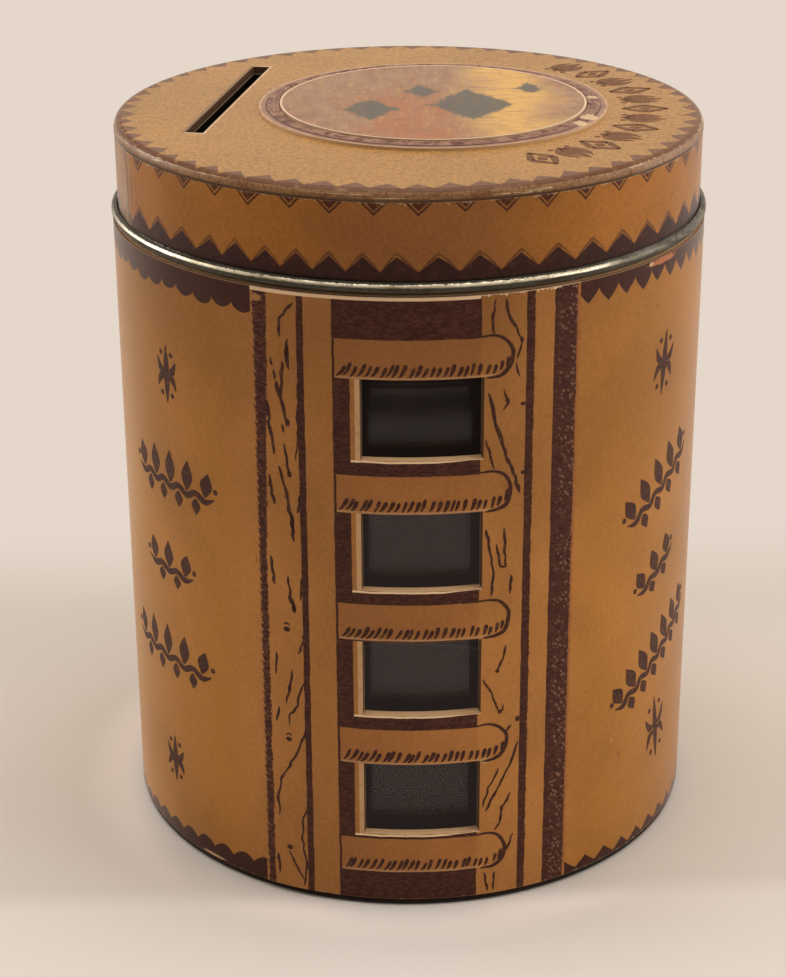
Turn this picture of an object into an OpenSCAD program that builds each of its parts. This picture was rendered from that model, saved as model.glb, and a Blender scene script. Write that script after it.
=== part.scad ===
// Savings bank: a glass jar standing in a board canister, under a slip-on tin lid with a coin slot.
// The origin is on the table at the canister's axis, +Z is up, and the four windows face -Y.

/* [Canister] */
// Outside diameter of the canister, over its paper wrap
canister_d = 89; // [86:0.5:94]
// Height of the board tube's top edge above the table
canister_h = 96.2; // [92:0.2:104]
// Thickness of the board tube's wall
tube_wall = 1.4; // [1.2:0.1:2]
// Thickness of the paper wrap
wrap_t = 0.2; // [0.1:0.05:0.3]
// Bare board left above and below the wrap
wrap_edge = 0.15; // [0.05:0.05:0.5]
// Width of the wrap's glued lap, round the curve
lap_w = 11; // [6:1:16]
// Angle from the windows' centre to the edge of the lap, towards -X
lap_turn = 31.3; // [24:0.1:40]

/* [Windows] */
// Number of windows, one above the other
window_count = 4; // [2:1:4]
// Width of a window, round the curve
window_w = 17.2; // [12:0.2:19]
// Height of a window
window_h = 12; // [9:0.2:13]
// Step from one window up to the next
window_pitch = 20; // [18:0.5:21]
// Height of the lowest sill above the table
window_low = 12.3; // [8:0.1:16]

/* [Neck collar] */
// Thickness of the board collar that the lid slides over
collar_wall = 1; // [0.8:0.1:1.4]
// Depth of the collar that is glued inside the tube
collar_sunk = 10; // [6:0.5:11]

/* [Base end] */
// Height of the hemmed rim that the tube stands on
end_rim_h = 1; // [0.8:0.1:1.4]
// Height of the panel that the jar stands on, above the table
end_depth = 3; // [2.4:0.2:5]
// Thickness of the base end's sheet
end_sheet = 0.3; // [0.2:0.05:0.5]
// Inside radius of the bend between the panel and its wall
end_bend_r = 0.6; // [0.3:0.1:1]
// Gap between the base end's wall and the tube
end_fit = 0.1; // [0.05:0.05:0.2]

/* [Glass jar] */
// Gap between the jar and the tube, all round
jar_side_gap = 2; // [1.4:0.1:3]
// Gap between the jar's mouth and the lid
jar_head_gap = 3.1; // [1:0.1:6]
// Thickness of the jar's wall
jar_wall = 2; // [1.5:0.1:3]
// Thickness of the jar's floor
jar_floor = 4; // [2.5:0.5:6]
// Rise of the hollow under the jar
jar_punt = 1.2; // [0.6:0.1:2]
// Width of the flat ring that the jar stands on
jar_foot_w = 3; // [2:0.5:5]
// Radius of the jar's heel
jar_heel_r = 5; // [3:0.5:8]
// Height of the jar's straight wall, from its foot to its shoulder
jar_straight_h = 73; // [60:0.5:76]
// Height of the jar's shoulder
jar_shoulder_h = 10; // [6:0.5:14]
// How far the neck stands in from the body
jar_neck_inset = 2.5; // [1.5:0.1:4]
// Height of the rounded lip
jar_lip_h = 4; // [3:0.5:6]
// How far the lip stands out from the neck
jar_lip_out = 1; // [0.5:0.1:1.4]

/* [Lid] */
// Depth inside the lid, from its top to the lowest edge of its bead
lid_depth = 13.6; // [11:0.2:18]
// Gap between the lid's skirt and the collar
lid_fit = 0.3; // [0.2:0.05:0.5]
// Gap between the bead and the tube's top edge
lid_stand = 0.3; // [0.2:0.05:0.6]
// Thickness of the tin plate
tin_t = 0.3; // [0.2:0.05:0.4]
// Outside radius of the lid's top corner
lid_corner_r = 1; // [0.6:0.1:1.5]
// Outside radius of the curled bead
bead_r = 0.75; // [0.6:0.05:1]
// Opening left between the curl's edge and the skirt, as an angle of the curl
curl_gap = 30; // [15:5:40]
// Thickness of the paper on the lid's top
top_paper_t = 0.25; // [0.15:0.05:0.4]
// How far the top paper turns down over the corner
top_paper_turn = 1.6; // [1.4:0.1:2.5]
// Thickness of the paper round the skirt
skirt_paper_t = 0.2; // [0.1:0.05:0.3]
// Bare tin left above and below the skirt paper
skirt_paper_edge = 0.08; // [0.05:0.01:0.3]
// Width of the skirt paper's glued lap, round the curve
skirt_lap_w = 7; // [4:0.5:12]
// Angle from the windows' centre to the edge of the skirt paper's lap, towards -X
skirt_lap_turn = 69; // [45:1:120]

/* [Coin slot] */
// Length of the coin slot
slot_l = 42; // [34:0.5:44]
// Width of the coin slot
slot_w = 2.8; // [2.4:0.1:3.6]
// Distance from the lid's centre to the slot's centre line
slot_off = 28; // [27:0.5:31]
// How far the slot's middle lies along its line from the point nearest the centre
slot_slide = 2.3; // [0:0.1:4]
// Angle between the slot and the Y axis
slot_turn = 12.4; // [0:0.1:30]
// Depth of the slot's turned-down edge below the tin
slot_lip = 0.6; // [0.3:0.1:1.2]
// Corner radius of the slot
slot_corner_r = 0.4; // [0.2:0.1:1]

/* [Label] */
// Diameter of the bordered label on the lid
label_d = 52; // [46:0.5:54]
// Thickness of the label's card
label_t = 0.4; // [0.2:0.05:0.8]
// Diameter of the picture on the label
picture_d = 45.8; // [38:0.2:45.8]
// Thickness of the picture's card
picture_t = 0.4; // [0.2:0.05:0.8]
// Distance of the label's centre from the lid's centre, towards +X
label_x = 3.8; // [2:0.1:6]
// Distance of the label's centre from the lid's centre, towards +Y
label_y = 1.9; // [-3:0.1:4]

/* [Hidden] */

$fn = 96;
arc_steps = 8;
paste_gap = 0.02;
cut_over = 1;
front = -90;

// Radii of the canister, from the outside in
wrap_r = canister_d / 2;
tube_r = wrap_r - wrap_t - paste_gap;
tube_bore_r = tube_r - tube_wall;
collar_r = tube_bore_r - paste_gap;
collar_bore_r = collar_r - collar_wall;

// Lap of a paper strip that is wound on a round wall: each is a function of the strip's outside
// radius, its thickness and the lap's width. The lap is a rounder arc, which stands proud by one
// thickness at the strip's edge and runs out into the strip at the lap's far side.
function lap_centre(r, t, w) =
    (pow(r + t, 2) - pow(r, 2)) / (2 * (r + t - r * cos(w / r * 180 / PI)));
function lap_radius(r, t, w) = r + t - lap_centre(r, t, w);

window_a = window_w / wrap_r * 180 / PI;

// Heights of the lid's parts
bead_z = canister_h + lid_stand + bead_r;
lid_under_z = canister_h + lid_stand + lid_depth;
lid_tin_z = lid_under_z + tin_t;
top_paper_z = lid_tin_z + paste_gap;
lid_top_z = top_paper_z + top_paper_t;
top_paper_low_z = lid_top_z - top_paper_turn;

// Radii of the lid
skirt_bore_r = collar_r + lid_fit;
skirt_r = skirt_bore_r + tin_t;
lid_bend_r = lid_corner_r - tin_t;
corner_centre_r = skirt_r - lid_corner_r;
corner_centre_z = lid_tin_z - lid_corner_r;
skirt_paper_r = skirt_r + paste_gap + skirt_paper_t;
skirt_paper_low_z = bead_z + bead_r + skirt_paper_edge;
skirt_paper_top_z = top_paper_low_z - skirt_paper_edge;
curl_gap_mid = 110;

// Jar
jar_r = tube_bore_r - jar_side_gap;
jar_z = end_depth;
jar_top_z = lid_under_z - jar_head_gap;
jar_h = jar_top_z - jar_z;
neck_r = jar_r - jar_neck_inset;
lip_r = neck_r + jar_lip_out;
lip_round_r = (lip_r - (neck_r - jar_wall)) / 2;
// The shoulder is two equal arcs, one turning in and one turning up again
shoulder_a = 2 * atan(jar_neck_inset / jar_shoulder_h);
shoulder_r = jar_shoulder_h / (2 * sin(shoulder_a));
inner_heel_r = max(jar_heel_r - jar_wall, 1);

// Base end
end_wall_r = tube_bore_r - end_fit;
end_wall_bore_r = end_wall_r - end_sheet;
end_bend_out_r = end_bend_r + end_sheet;

// Collar
collar_low_z = canister_h - collar_sunk;
collar_top_z = lid_under_z;
collar_round_r = min(lid_bend_r, collar_wall);

// Points of an arc in a profile
function arc(x, z, r, from, to) =
    [for (i = [0:arc_steps]) let (a = from + (to - from) * i / arc_steps)
        [x + r * cos(a), z + r * sin(a)]];

// Wall of a round tube
module tube_wall_ring(r_out, r_in, low, high) {
    difference() {
        translate([0, 0, low]) cylinder(r = r_out, h = high - low);
        translate([0, 0, low - cut_over]) cylinder(r = r_in, h = high - low + 2 * cut_over);
    }
}

// Quarter of a bent sheet, between two radii, which turns from the wall to the panel
module bend(x, z, r_out, r_in) {
    translate([x, z]) intersection() {
        difference() {
            circle(r = r_out);
            circle(r = r_in);
        }
        square(r_out + cut_over);
    }
}

// Cutters of the windows, with edges that point to the axis
module window_cuts() {
    depth = tube_wall + 2 * wrap_t;
    for (i = [0:window_count - 1])
        rotate([0, 0, front - window_a / 2])
            rotate_extrude(angle = window_a)
                translate([wrap_r - depth - cut_over, window_low + i * window_pitch])
                    square([depth + 2 * cut_over, window_h]);
}

// Paper strip round a wall, with its lap, from a low to a high edge
module lapped_strip(r_out, r_in, t, lap, turn, low, high) {
    translate([0, 0, low]) linear_extrude(height = high - low)
        difference() {
            union() {
                circle(r = r_out);
                rotate(front - turn) intersection() {
                    translate([lap_centre(r_out, t, lap), 0]) circle(r = lap_radius(r_out, t, lap));
                    square(r_out + cut_over);
                }
            }
            circle(r = r_in);
        }
}

// Outline of the coin slot, grown by a margin
module slot_outline(margin = 0) {
    r = slot_corner_r + margin;
    w = slot_w + 2 * margin;
    l = slot_l + 2 * margin;
    rotate(-slot_turn) translate([-slot_off, slot_slide]) {
        square([w - 2 * r, l], center = true);
        square([w, l - 2 * r], center = true);
        for (x = [-1, 1], y = [-1, 1])
            translate([x * (w / 2 - r), y * (l / 2 - r)]) circle(r = r);
    }
}

// Cutter of the coin slot
module slot_cut() {
    translate([0, 0, lid_under_z - slot_lip - cut_over])
        linear_extrude(height = slot_lip + lid_top_z - lid_under_z + 2 * cut_over) slot_outline();
}

// Board tube of the canister
module body_tube() color("#B08A62") {
    difference() {
        tube_wall_ring(tube_r, tube_bore_r, end_rim_h, canister_h);
        window_cuts();
    }
}

// Printed paper round the tube
module side_wrap() color("#9A6634") {
    difference() {
        lapped_strip(wrap_r, tube_r + paste_gap, wrap_t, lap_w, lap_turn,
                     end_rim_h + wrap_edge, canister_h - wrap_edge);
        window_cuts();
    }
}

// Inner board collar, with a rounded top edge that clears the bend of the lid
module neck_collar() color("#A98560") {
    rotate_extrude() difference() {
        translate([collar_bore_r, collar_low_z]) square([collar_wall, collar_top_z - collar_low_z]);
        translate([collar_r - collar_round_r, collar_top_z - collar_round_r]) difference() {
            square(collar_round_r + cut_over);
            circle(r = collar_round_r);
        }
    }
}

// Pressed base end: a hemmed rim under the tube, a wall inside it and a raised panel
module base_end() color("#241A15") {
    rim_mid_r = tube_r - end_rim_h / 2;
    rotate_extrude() {
        translate([rim_mid_r, end_rim_h / 2]) circle(r = end_rim_h / 2);
        translate([end_wall_bore_r, 0]) square([rim_mid_r - end_wall_bore_r, end_rim_h]);
        translate([end_wall_bore_r, 0]) square([end_sheet, end_depth - end_bend_out_r]);
        bend(end_wall_r - end_bend_out_r, end_depth - end_bend_out_r, end_bend_out_r, end_bend_r);
        translate([0, end_depth - end_sheet]) square([end_wall_r - end_bend_out_r, end_sheet]);
    }
}

// Glass jar: punted floor, rounded heel, straight wall, drawn-in shoulder, neck and rolled lip
module glass_jar() color("#8FA39A", 0.5) {
    bore = jar_r - jar_wall;
    neck_bore = neck_r - jar_wall;
    foot_in = jar_r - jar_heel_r - jar_foot_w;
    outside = concat(
        [[0, jar_punt], [foot_in - jar_punt * 2, jar_punt], [foot_in, 0]],
        arc(jar_r - jar_heel_r, jar_heel_r, jar_heel_r, -90, 0),
        arc(jar_r - shoulder_r, jar_straight_h, shoulder_r, 0, shoulder_a),
        arc(neck_r + shoulder_r, jar_straight_h + jar_shoulder_h, shoulder_r, 180 + shoulder_a, 180),
        [[neck_r, jar_h - jar_lip_h]],
        arc(lip_r - jar_lip_out, jar_h - jar_lip_h + jar_lip_out, jar_lip_out, -90, 0),
        arc(lip_r - lip_round_r, jar_h - lip_round_r, lip_round_r, 0, 180));
    inside = concat(
        arc(neck_bore + shoulder_r, jar_straight_h + jar_shoulder_h, shoulder_r, 180, 180 + shoulder_a),
        arc(bore - shoulder_r, jar_straight_h, shoulder_r, shoulder_a, 0),
        arc(bore - inner_heel_r, jar_floor + inner_heel_r, inner_heel_r, 0, -90),
        [[0, jar_floor]]);
    translate([0, 0, jar_z]) rotate_extrude() polygon(concat(outside, inside));
}

// Drawn tin lid: bent top corner, straight skirt, hollow curled bead and coin slot with a lip
module lid_shell() color("#8F8168") {
    difference() {
        union() {
            rotate_extrude() {
                translate([0, lid_under_z]) square([corner_centre_r, tin_t]);
                bend(corner_centre_r, corner_centre_z, lid_corner_r, lid_bend_r);
                translate([skirt_bore_r, bead_z]) square([tin_t, corner_centre_z - bead_z]);
                translate([skirt_bore_r + bead_r, bead_z]) difference() {
                    circle(r = bead_r);
                    circle(r = bead_r - tin_t);
                    rotate(curl_gap_mid) polygon([
                        [0, 0],
                        2 * bead_r * [cos(curl_gap / 2), sin(curl_gap / 2)],
                        2 * bead_r * [cos(curl_gap / 2), -sin(curl_gap / 2)]]);
                }
            }
            translate([0, 0, lid_under_z - slot_lip])
                linear_extrude(height = slot_lip + tin_t / 2) slot_outline(tin_t);
        }
        slot_cut();
    }
}

// Printed paper on the lid's top, turned down over the corner
module lid_top_paper() color("#BD905F") {
    difference() {
        rotate_extrude() {
            inner = lid_corner_r + paste_gap;
            outer = inner + top_paper_t;
            translate([0, top_paper_z]) square([corner_centre_r, top_paper_t]);
            bend(corner_centre_r, corner_centre_z, outer, inner);
            translate([corner_centre_r + inner, top_paper_low_z])
                square([top_paper_t, corner_centre_z - top_paper_low_z]);
        }
        slot_cut();
    }
}

// Printed paper round the lid's skirt
module lid_skirt_paper() color("#8A5A2E") {
    lapped_strip(skirt_paper_r, skirt_r + paste_gap, skirt_paper_t, skirt_lap_w, skirt_lap_turn,
                 skirt_paper_low_z, skirt_paper_top_z);
}

// Bordered card label on the lid
module label_disc() color("#7A5A55") {
    translate([label_x, label_y, lid_top_z]) cylinder(d = label_d, h = label_t);
}

// Picture card on the label
module picture_disc() color("#C99A66") {
    translate([label_x, label_y, lid_top_z + label_t]) cylinder(d = picture_d, h = picture_t);
}

body_tube();
side_wrap();
neck_collar();
base_end();
glass_jar();
lid_shell();
lid_top_paper();
lid_skirt_paper();
label_disc();
picture_disc();
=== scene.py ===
from math import atan2, cos, hypot, pi, radians, sin
import random

import bmesh
import bpy
from mathutils import Matrix, Vector
from mathutils.bvhtree import BVHTree


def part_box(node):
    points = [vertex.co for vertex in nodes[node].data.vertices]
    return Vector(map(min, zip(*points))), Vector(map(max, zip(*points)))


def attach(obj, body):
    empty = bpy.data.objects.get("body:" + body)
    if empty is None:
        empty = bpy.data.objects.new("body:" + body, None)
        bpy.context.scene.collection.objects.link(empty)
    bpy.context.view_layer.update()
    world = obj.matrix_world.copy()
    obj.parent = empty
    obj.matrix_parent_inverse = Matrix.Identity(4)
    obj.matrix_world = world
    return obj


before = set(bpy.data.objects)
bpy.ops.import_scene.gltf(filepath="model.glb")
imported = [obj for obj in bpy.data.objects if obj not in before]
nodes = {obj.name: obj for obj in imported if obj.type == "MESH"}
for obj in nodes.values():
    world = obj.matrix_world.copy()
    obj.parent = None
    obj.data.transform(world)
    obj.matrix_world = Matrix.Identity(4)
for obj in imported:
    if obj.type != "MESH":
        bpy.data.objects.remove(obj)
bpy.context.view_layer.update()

mm = 0.001
scene = bpy.context.scene
wrapRadius = -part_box("side_wrap")[0].y / mm
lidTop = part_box("lid_top_paper")[1].z / mm
labelLow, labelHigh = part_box("label_disc")
labelCentre = (labelLow + labelHigh) / 2 / mm
labelRadius = (labelHigh.x - labelLow.x) / 2 / mm
pictureLow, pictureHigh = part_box("picture_disc")
pictureRadius = (pictureHigh.x - pictureLow.x) / 2 / mm

# Camera
print("camera")
cameraSetup = dict(
    distance=0.33629,  # from the bank's axis
    height=0.19468,  # above the table
    turn=-2.35,  # degrees round the bank from straight ahead of the windows
    tilt=-23.413,
    pan=-0.438,
    roll=-0.298,
    lens=84.607,
)


def makeCamera(c):
    turn = Matrix.Rotation(radians(c["turn"]), 3, "Z")
    tilt, pan = radians(c["tilt"]), radians(c["pan"])
    look = turn @ Vector((sin(pan) * cos(tilt), cos(pan) * cos(tilt), sin(tilt)))
    data = bpy.data.cameras.new("photoCamera")
    data.lens = c["lens"]
    data.clip_start = 0.01
    camera = bpy.data.objects.new("photoCamera", data)
    scene.collection.objects.link(camera)
    camera.location = turn @ Vector((0, -c["distance"], c["height"]))
    camera.rotation_mode = "QUATERNION"
    roll = Matrix.Rotation(radians(c["roll"]), 3, "Z")
    camera.rotation_quaternion = look.to_track_quat("-Z", "Y") @ roll.to_quaternion()
    scene.camera = camera


makeCamera(cameraSetup)

# Small helpers that wire the nodes of one material
wiring = {}


def paint(red, green, blue):  # a screen colour from 0 to 255, as Blender wants it
    def channel(value):
        value = value / 255
        return value / 12.92 if value <= 0.04045 else ((value + 0.055) / 1.055) ** 2.4
    return (channel(red), channel(green), channel(blue), 1)


class Spot:  # the place of a point on a surface, in millimetres
    pass


def plug(value, socket):  # a link, a place, a number, or a screen colour of three numbers
    if isinstance(value, Spot):
        value = value.all
    if isinstance(value, bpy.types.NodeSocket):
        wiring["tree"].links.new(value, socket)
    else:
        socket.default_value = paint(*value) if socket.type == "RGBA" and len(value) == 3 else value


# A node's outputs. Its inputs are given in their order, or by name or number
def addNode(kind, inputs=(), **settings):
    node = wiring["tree"].nodes.new("ShaderNode" + kind)
    for name, value in settings.items():
        setattr(node, name, value)
    named = inputs if isinstance(inputs, dict) else dict(enumerate(inputs))
    for name, value in named.items():
        plug(value, node.inputs[name])
    return node.outputs


def calc(operation, *values):
    return addNode("Math", values, operation=operation)[0]


def maths(operation):  # calc for one operation
    return lambda *values: calc(operation, *values)


add, sub, mul, over, power = (maths(name) for name in ("ADD", "SUBTRACT", "MULTIPLY", "DIVIDE", "POWER"))
larger, smaller, absolute = maths("MAXIMUM"), maths("MINIMUM"), maths("ABSOLUTE")
sine, root, fraction, whole = maths("SINE"), maths("SQRT"), maths("FRACT"), maths("FLOOR")


def inverse(a):
    return sub(1, a)


def farFrom(x, y):  # distance from the middle
    return root(add(mul(x, x), mul(y, y)))


def ramp(value, low, high, start=0, end=1, smooth=True):
    return addNode("MapRange", (value, low, high, start, end),
                   interpolation_type="SMOOTHSTEP" if smooth else "LINEAR")[0]


def above(value, edge, soft=0.06):  # 1 where value is over edge
    return ramp(sub(value, edge), -soft, soft)


def between(value, low, high, soft=0.06):
    return smaller(above(value, low, soft), above(high, value, soft))


def blend(share, first, second):  # of two numbers
    return add(mul(first, inverse(share)), mul(second, share))


def mix(share, first, second, kind="MIX"):  # of two colours
    return addNode("Mix", {0: share, 6: first, 7: second}, data_type="RGBA", blend_type=kind)[2]


def coats(colour, tones, *layers):  # one over another, each with its place, strength and tone
    for place, strength, tone in layers:
        colour = mix(mul(place, strength), colour, tones[tone])
    return colour


def shifted(spots, stretch=(1, 1, 1), offset=(0, 0, 0)):
    return addNode("Mapping", {"Vector": spots, "Scale": stretch, "Location": offset})[0]


def grain(spots, scale, detail=2, roughness=0.5, stretch=(1, 1, 1), offset=(0, 0, 0)):
    if (*stretch, *offset) != (1, 1, 1, 0, 0, 0):
        spots = shifted(spots, stretch, offset)
    return addNode("TexNoise", {"Vector": spots, "Scale": scale, "Detail": detail,
                                "Roughness": roughness})["Fac"]


def swing(value, reach):  # from 0 to 1 becomes from -reach / 2 to reach / 2
    return mul(sub(value, 0.5), reach)


def pebble(spots, scale, feature="F1", randomness=1):
    return addNode("TexVoronoi", {"Vector": spots, "Scale": scale, "Randomness": randomness},
                   feature=feature)["Distance"]


def join3(*values):
    return addNode("CombineXYZ", values)[0]


def split3(vector):
    return addNode("SeparateXYZ", [vector])


def dice(value, seed):  # one random number for each whole step of value
    return addNode("TexWhiteNoise", {"Vector": join3(whole(value), seed)},
                   noise_dimensions="2D")["Value"]


# A new material and its Object coordinates: the point, its radius, angle and arc, and which way it faces
def startMaterial(name, radius=0, centre=(0, 0, 0)):
    material = bpy.data.materials.new(name)
    material.use_nodes = True
    wiring["tree"] = material.node_tree
    wiring["surface"] = material.node_tree.nodes["Principled BSDF"]
    wiring["material"] = material
    spot = Spot()
    found = addNode("TexCoord")
    spot.all = shifted(found["Object"], [1 / mm] * 3, [-value for value in centre])
    spot.x, spot.y, spot.z = split3(spot.all)
    spot.radius = farFrom(spot.x, spot.y)
    spot.angle = calc("DEGREES", calc("ARCTAN2", spot.x, mul(spot.y, -1)))
    spot.turned = absolute(spot.angle)
    spot.arc = mul(spot.angle, radians(radius))
    spot.up = split3(found["Normal"])[2]
    spot.level = absolute(spot.up)
    return spot


def finishSurface(colour, roughness, height=None, depth=0.02, specular=0.5, **sockets):
    inputs = wiring["surface"].inputs
    shared = {"Base Color": colour, "Roughness": roughness, "Specular IOR Level": specular}
    for name, value in {**shared, **sockets}.items():
        plug(value, inputs[name])
    if height is not None:
        plug(addNode("Bump", {"Distance": depth * mm, "Height": height})[0], inputs["Normal"])
    return wiring["material"]


def dress(name, material):
    nodes[name].data.materials.clear()
    nodes[name].data.materials.append(material)


# Leathery varnished paper, shared by the wrap and the lid's two papers
leather = dict(
    cells=1.25,  # in a millimetre
    cellsOnTop=1.4375,
    depth=0.034,
    depthOnTop=0.051,
    roughness=0.46,
    gloss={"specular": 0.04, "Coat Weight": 1, "Coat Roughness": 0.34, "Coat IOR": 1.22},
)


def finishLeather(spot, colour, relief, on=""):  # on is "OnTop" for the paper on the lid's top
    scale = leather["cells" + on]
    fine = grain(spot, scale * 3, 3, 0.6)
    height = add(mul(pebble(spot, scale, "SMOOTH_F1"), 0.8),
                 add(mul(fine, 0.35), mul(grain(spot, 0.6, 1), 0.3)))
    return finishSurface(colour, leather["roughness"], add(height, relief), leather["depth" + on],
                         **leather["gloss"])


def leatherTone(spot, colour, low=0.86, high=1.1, fibres=0.5, stretch=(1, 1, 1)):  # mottling and fibres
    slow = ramp(grain(spot, 0.05, 3), 0.3, 0.7, low, high)
    value = add(slow, swing(grain(spot, 1.6, 3, 0.65, stretch), fibres))
    return mix(1, colour, join3(value, value, value), "MULTIPLY")


# Printed wrap of the canister. Places are arc lengths from the windows' centre and heights, in mm
wrap = dict(
    tan=(176, 116, 47),
    panelTan=(184, 123, 62),
    rungTan=(174, 113, 58),
    paintedSideSheen=(198, 137, 54),
    wornTan=(176, 124, 76),
    scuffTan=(186, 112, 70),
    halo=(152, 88, 46),
    ink=(60, 25, 16),
    inkSpeck=(118, 70, 46),
    paintedInkSheen=(116, 92, 78),
    stipple=(160, 118, 92),
    paleEdge=(214, 172, 126),
    topEdge=(248, 208, 166),
    sillEdgeHighlight=(255, 218, 172),
    handShake=0.34,  # how far the printed lines wander
    raggedness=1.1,
    panel=(-24.35, 22.95),
    raggedStrip=(-23.8, -21.8),
    stripTaper=(94, 55, 0, -1),  # from one height to the other its right edge moves
    railLine=(-17.42, -16.42),
    thinLine=(-12.42, -12.05),
    ground=(-12.2, 8.15),
    rightLine=(14.6, 15.85),
    stippleStrip=(18.85, 22.5),
    rungLow=(5.9, 24.3, 44.5, 64.3, 84.3),
    rungHeight=5.7,
    windowLow=(12.3, 32.3, 52.3, 72.3),
    windowHeight=12,
    windowHalf=8.6,
    marginSide=1.35,
    marginUnder=(0.3, 0.1),  # at the left and the right of a window
    top=96,
    foot=1.18,
    topTeeth=dict(count=78, first=-33.2, roundTip=92.1, roundRoot=93.2, sharpTip=92.4, sharpRoot=94.5),
    lowTeeth=dict(count=70, first=-32.1, tip=2.65, root=1.45, rise=2.3, sharpRise=0.2),
    # chips and stains: arc length, height, half length, half height, colour
    marks=((40.2, 95.5, 3.6, 0.42, "scuffTan"), (36.9, 95.6, 0.6, 0.35, "paleEdge"),
           (-35.1, 1.5, 2.4, 0.2, "paleEdge"), (39, 88.9, 0.5, 0.35, "halo"),
           (22.9, 88.6, 0.35, 0.8, "halo"), (-23.4, 94.6, 0.8, 0.5, "wornTan"),
           (9.2, 24.1, 0.45, 0.3, "paleEdge"), (31.8, 21.6, 0.4, 0.5, "wornTan"),
           (33.6, 18.2, 0.3, 0.6, "halo")),
)


# How near each place is to a tooth's tip, from 0 to 1, in a rounded and in a pointed tooth
def wave(spot, teeth, seed):
    turn = over(sub(spot.angle, teeth["first"]), 360 / teeth["count"])
    if "crowded" in teeth:  # one tooth more between these two angles
        turn = sub(turn, ramp(spot.angle, *teeth["crowded"], smooth=False))
    shift = add(turn, 0.5 + teeth["count"])
    jitter = sub(dice(shift, seed), 0.5)
    along = fraction(shift)
    along = add(along, mul(mul(jitter, 0.3), mul(along, inverse(along))))
    rounded = sine(mul(along, pi))
    pointed = sub(1, absolute(sub(mul(along, 2), 1)))
    return rounded, pointed, jitter


def topBorder(w, spot, pointedSide):
    teeth = w["topTeeth"]
    rounded, pointed, jitter = wave(spot, teeth, 3)
    roundEdge = mul(power(rounded, 0.6), teeth["roundTip"] - teeth["roundRoot"])
    roundEdge = add(roundEdge, teeth["roundRoot"])
    leaf = mul(power(pointed, 0.75), teeth["sharpRoot"] - teeth["sharpTip"])
    return add(blend(pointedSide, roundEdge, sub(teeth["sharpRoot"], leaf)), mul(jitter, 0.7))


def lowBorder(w, spot, pointedSide):
    teeth = w["lowTeeth"]
    rounded, pointed, jitter = wave(spot, teeth, 5)
    tooth = blend(pointedSide, power(rounded, 0.85), mul(power(pointed, 1.15), 1.4))
    edge = add(teeth["root"], mul(tooth, teeth["tip"] - teeth["root"]))
    lean = mul(ramp(spot.angle, -78, -32, smooth=False), ramp(spot.angle, 110, 50))
    edge = add(edge, blend(pointedSide, mul(lean, teeth["rise"]), teeth["sharpRise"]))
    return add(edge, mul(jitter, 0.4))


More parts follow.
